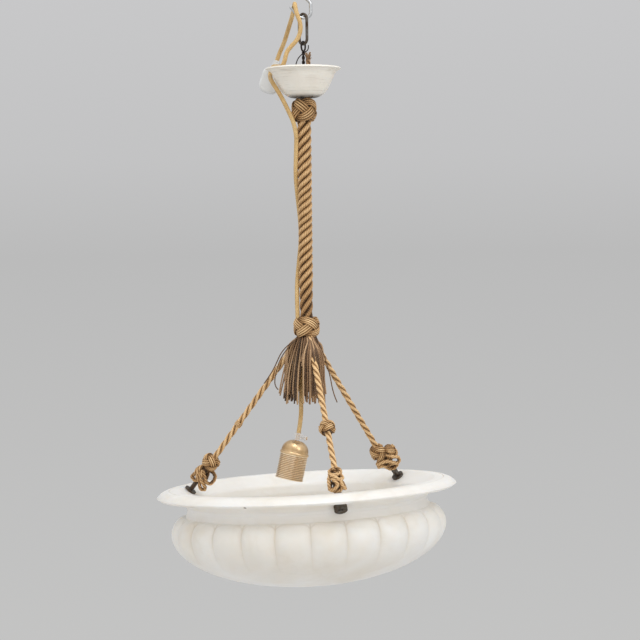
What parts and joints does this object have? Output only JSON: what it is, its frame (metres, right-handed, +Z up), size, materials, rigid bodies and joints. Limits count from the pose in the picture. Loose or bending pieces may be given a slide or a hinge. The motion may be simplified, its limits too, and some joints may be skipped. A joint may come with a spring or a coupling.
{
  "type": "alabaster bowl ceiling lamp",
  "caption": "Lobed alabaster bowl hung on laid ropes from a rope column with a tassel, a small alabaster canopy and a ceiling hook; a bare brass lampholder hangs on its flex over the bowl.",
  "frame": {"origin": "where the ceiling hook's shank enters the ceiling", "axes": "+Z up along the shank, +X to the viewer's right, +Y away from the viewer"},
  "size_m": [0.4195, 0.42, 0.8633],
  "materials": {
    "alabaster": "polished warm white alabaster",
    "rope": "laid golden rope with a soft sheen",
    "flex": "golden braided flex cover",
    "tassel": "brown unlaid strands",
    "iron": "dark forged iron",
    "wire": "dark annealed wire",
    "chrome": "bright plated wire",
    "brass": "aged brass",
    "porcelain": "white glazed porcelain",
    "white_plastic": "smooth white moulding",
    "clear_plastic": "cloudy clear moulding"
  },
  "bodies": {
    "ceiling_hook": {"ceiling_hook": "chrome"},
    "link": {"suspension_link": "iron"},
    "pendant": {"suspension_wire": "wire", "rope_stub": "tassel", "upper_knot": "rope", "rope_column": "rope", "lower_knot": "rope", "tassel": "tassel", "rope_front": "rope", "rope_left": "rope", "rope_right": "rope", "small_knot": "rope", "rope_whipping": "rope", "end_knot_front": "rope", "end_knot_left": "rope", "end_knot_right": "rope", "bowl_hooks": "iron", "hook_nuts": "iron", "hook_washers": "iron", "alabaster_bowl": "alabaster", "flex_loop": "flex", "flex_rim": "flex", "flex_column": "flex", "plug_body": "white_plastic", "plug_pins": "brass", "plug_sleeve": "white_plastic"},
    "canopy": {"canopy": "alabaster"},
    "lampholder": {"flex_drop": "flex", "cord_grip": "clear_plastic", "grip_screw": "brass", "holder_cap": "brass", "holder_skirt": "brass", "porcelain_insert": "porcelain", "screw_shell": "brass", "centre_contact": "brass", "terminal_screws": "brass"}
  },
  "joints": [
    {"name": "link_swing", "type": "hinge", "parent": "ceiling_hook", "child": "link", "pos_m": [0, 0, -0.0455], "axis": [1, 0, 0], "range_deg": [-7, 7], "deforming": ["flex_loop"]},
    {"name": "lamp_swing", "type": "hinge", "parent": "link", "child": "pendant", "pos_m": [0, 0, -0.08225], "axis": [0.7071, -0.7071, 0], "range_deg": [-7, 7], "deforming": ["flex_loop"]},
    {"name": "canopy_lift", "type": "slide", "parent": "pendant", "child": "canopy", "axis": [0, 0, 1], "range_m": [0, 0.012], "deforming": ["flex_rim"]},
    {"name": "holder_swing", "type": "hinge", "parent": "pendant", "child": "lampholder", "pos_m": [-0.002, 0, -0.4926], "axis": [1, 0, 0], "range_deg": [-7, 7]}
  ]
}
